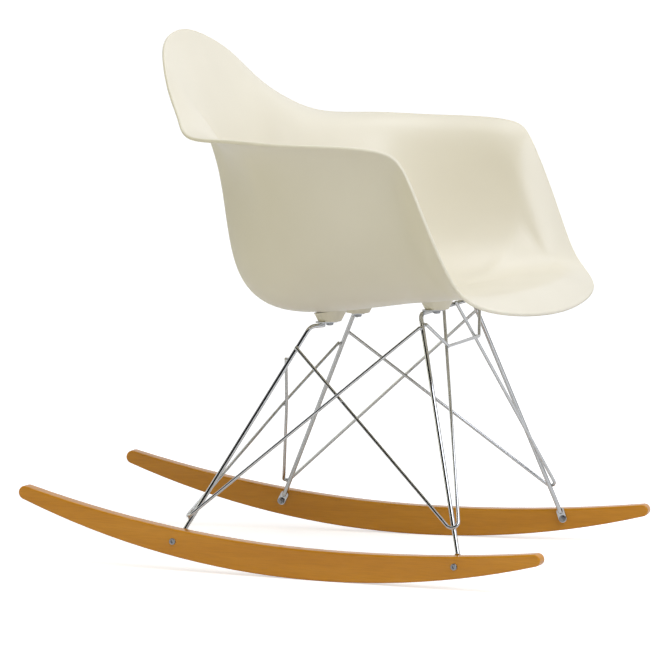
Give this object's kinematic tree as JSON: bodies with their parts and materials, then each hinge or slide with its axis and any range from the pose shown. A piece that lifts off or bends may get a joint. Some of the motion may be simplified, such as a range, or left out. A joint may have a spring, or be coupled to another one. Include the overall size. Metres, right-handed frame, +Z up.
{
  "type": "rocking chair",
  "caption": "Rocking armchair: moulded bucket seat with arms, on a welded base of crossed chromed rods and wires that is bolted to curved wooden rockers.",
  "frame": {"origin": "on the floor, halfway along the rockers, in the chair's plane of symmetry", "axes": "+Z up, -Y the way the sitter faces, +X the sitter's left"},
  "size_m": [0.6308, 0.8112, 0.7613],
  "materials": {
    "shell_plastic": "satin cream moulded plastic",
    "chromed_steel": "bright chrome",
    "rocker_wood": "clear-lacquered honey maple",
    "fastener_steel": "plain zinc-plated steel",
    "brass": "turned brass"
  },
  "bodies": {
    "root": {"front_brace_left": "chromed_steel", "front_brace_right": "chromed_steel", "front_leg_frame": "chromed_steel", "front_tie_wire": "chromed_steel", "mounting_tab_front_left": "chromed_steel", "mounting_tab_front_right": "chromed_steel", "mounting_tab_rear_left": "chromed_steel", "mounting_tab_rear_right": "chromed_steel", "rear_brace_left": "chromed_steel", "rear_brace_right": "chromed_steel", "rear_leg_left": "chromed_steel", "rear_leg_right": "chromed_steel", "rocker_bolt_front_left": "fastener_steel", "rocker_bolt_front_right": "fastener_steel", "rocker_bolt_rear_left": "fastener_steel", "rocker_bolt_rear_right": "fastener_steel", "rocker_left": "rocker_wood", "rocker_nut_front_left": "fastener_steel", "rocker_nut_front_right": "fastener_steel", "rocker_nut_rear_left": "fastener_steel", "rocker_nut_rear_right": "fastener_steel", "rocker_right": "rocker_wood", "rocker_washer_front_left": "fastener_steel", "rocker_washer_front_right": "fastener_steel", "rocker_washer_rear_left": "fastener_steel", "rocker_washer_rear_right": "fastener_steel", "seat_insert_front_left": "brass", "seat_insert_front_right": "brass", "seat_insert_rear_left": "brass", "seat_insert_rear_right": "brass", "seat_screw_front_left": "fastener_steel", "seat_screw_front_right": "fastener_steel", "seat_screw_rear_left": "fastener_steel", "seat_screw_rear_right": "fastener_steel", "seat_shell": "shell_plastic"}
  },
  "joints": []
}
